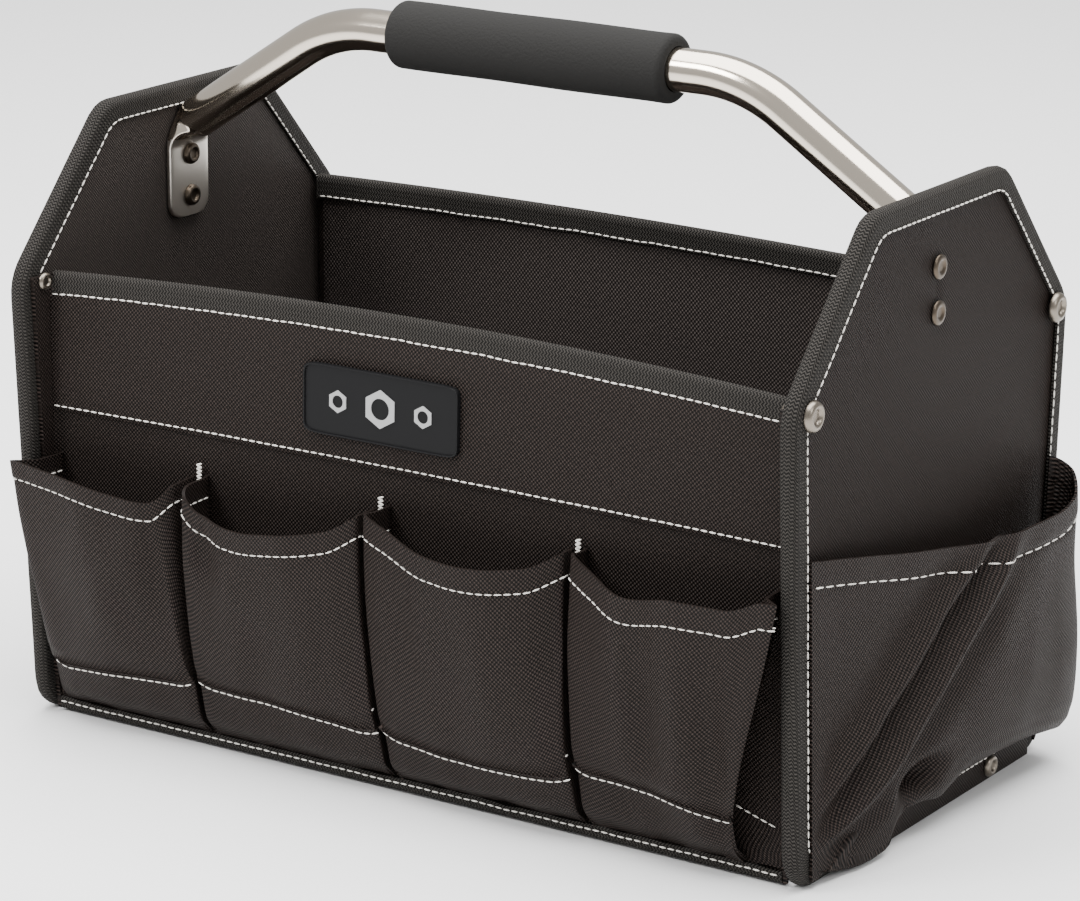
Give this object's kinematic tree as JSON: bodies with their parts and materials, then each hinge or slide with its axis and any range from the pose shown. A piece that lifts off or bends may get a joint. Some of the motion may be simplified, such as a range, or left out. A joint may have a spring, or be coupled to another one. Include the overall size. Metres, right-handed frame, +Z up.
{
  "type": "tool bag",
  "caption": "Open-topped fabric tool bag with stiff six-sided ends, outside pockets all round, and a bent steel tube handle with a foam grip.",
  "frame": {"origin": "on the floor, under the middle of the bag", "axes": "+Z up, +X along the bag and the handle, the patch on the -Y side"},
  "size_m": [0.4522, 0.2548, 0.324],
  "materials": {
    "fabric": "woven polyester, near-black brown with a faint diagonal sheen",
    "webbing": "herringbone webbing, dark grey",
    "foam": "matte closed-cell foam",
    "steel": "bright plated steel tube",
    "rivet": "nickel-plated, slightly worn",
    "rubber": "moulded soft rubber, satin"
  },
  "bodies": {
    "root": {"base_board": "fabric", "end_panel_right": "fabric", "end_binding_right": "webbing", "end_pocket_right": "fabric", "base_strip_right": "fabric", "end_panel_left": "fabric", "end_binding_left": "webbing", "end_pocket_left": "fabric", "base_strip_left": "fabric", "front_panel": "fabric", "front_top_binding": "webbing", "front_hem": "webbing", "front_band": "fabric", "front_pocket_1": "fabric", "front_pocket_2": "fabric", "front_pocket_3": "fabric", "front_pocket_4": "fabric", "back_panel": "fabric", "back_top_binding": "webbing", "back_hem": "webbing", "back_band": "fabric", "back_pocket_1": "fabric", "back_pocket_2": "fabric", "back_pocket_3": "fabric", "back_pocket_4": "fabric", "handle_tube": "steel", "foam_grip": "foam", "label_patch": "rubber", "handle_rivet_right_1": "rivet", "base_stud_right_1": "rivet", "handle_rivet_right_2": "rivet", "base_stud_right_2": "rivet", "corner_rivet_front_right": "rivet", "corner_rivet_back_right": "rivet", "handle_rivet_left_1": "rivet", "base_stud_left_1": "rivet", "handle_rivet_left_2": "rivet", "base_stud_left_2": "rivet", "corner_rivet_front_left": "rivet", "corner_rivet_back_left": "rivet"}
  },
  "joints": []
}
